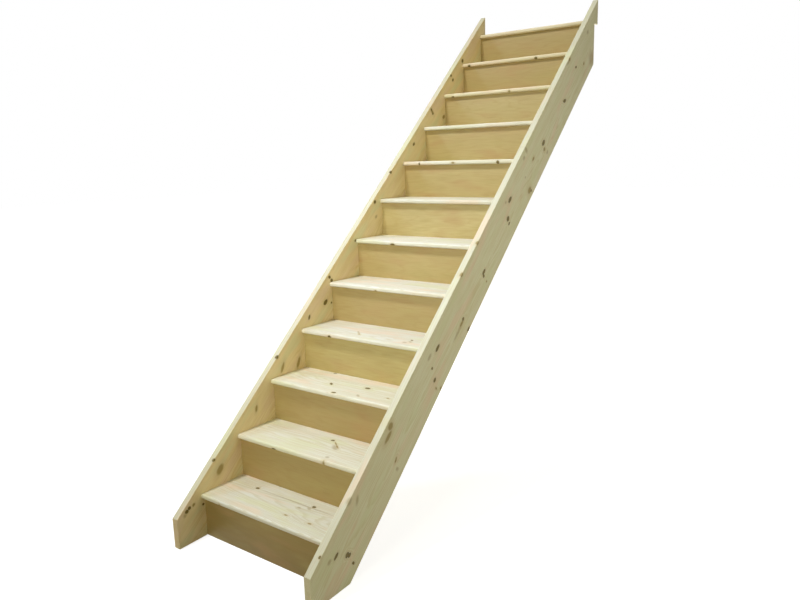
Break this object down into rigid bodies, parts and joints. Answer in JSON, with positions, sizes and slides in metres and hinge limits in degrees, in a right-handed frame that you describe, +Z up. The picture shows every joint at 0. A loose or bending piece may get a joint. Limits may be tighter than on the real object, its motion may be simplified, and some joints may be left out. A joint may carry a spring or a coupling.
{
  "type": "straight closed-string wooden staircase",
  "caption": "Straight timber stair with closed strings, housed and wedged treads and risers, a landing nosing and horned, plumb-cut string ends.",
  "frame": {"origin": "on the landing face, the plane of the top riser's back and of both strings' upper plumb cuts, on the centre line and 100 mm below the landing's floor level", "axes": "+X to the right for someone who climbs the stair, +Y forwards towards the landing and square to the landing face, +Z up"},
  "size_m": [0.8, 2.682, 2.5202],
  "materials": {
    "string_pine": "planed knotty pine board, bare and pale, with sharp grain and small dark knots",
    "tread_pine": "planed and sanded knotty pine board with a rounded nosing, bare",
    "riser_plywood": "smooth sanded plywood with a plain yellow-tan face veneer",
    "wedge_softwood": "sawn softwood, glued"
  },
  "bodies": {
    "root": {"left_string": "string_pine", "right_string": "string_pine", "landing_nosing": "tread_pine", "tread_01": "tread_pine", "tread_02": "tread_pine", "tread_03": "tread_pine", "tread_04": "tread_pine", "tread_05": "tread_pine", "tread_06": "tread_pine", "tread_07": "tread_pine", "tread_08": "tread_pine", "tread_09": "tread_pine", "tread_10": "tread_pine", "tread_11": "tread_pine", "riser_01": "riser_plywood", "riser_02": "riser_plywood", "riser_03": "riser_plywood", "riser_04": "riser_plywood", "riser_05": "riser_plywood", "riser_06": "riser_plywood", "riser_07": "riser_plywood", "riser_08": "riser_plywood", "riser_09": "riser_plywood", "riser_10": "riser_plywood", "riser_11": "riser_plywood", "riser_12": "riser_plywood", "left_tread_wedges": "wedge_softwood", "right_tread_wedges": "wedge_softwood", "left_riser_wedges": "wedge_softwood", "right_riser_wedges": "wedge_softwood", "glue_blocks": "wedge_softwood"}
  },
  "joints": []
}
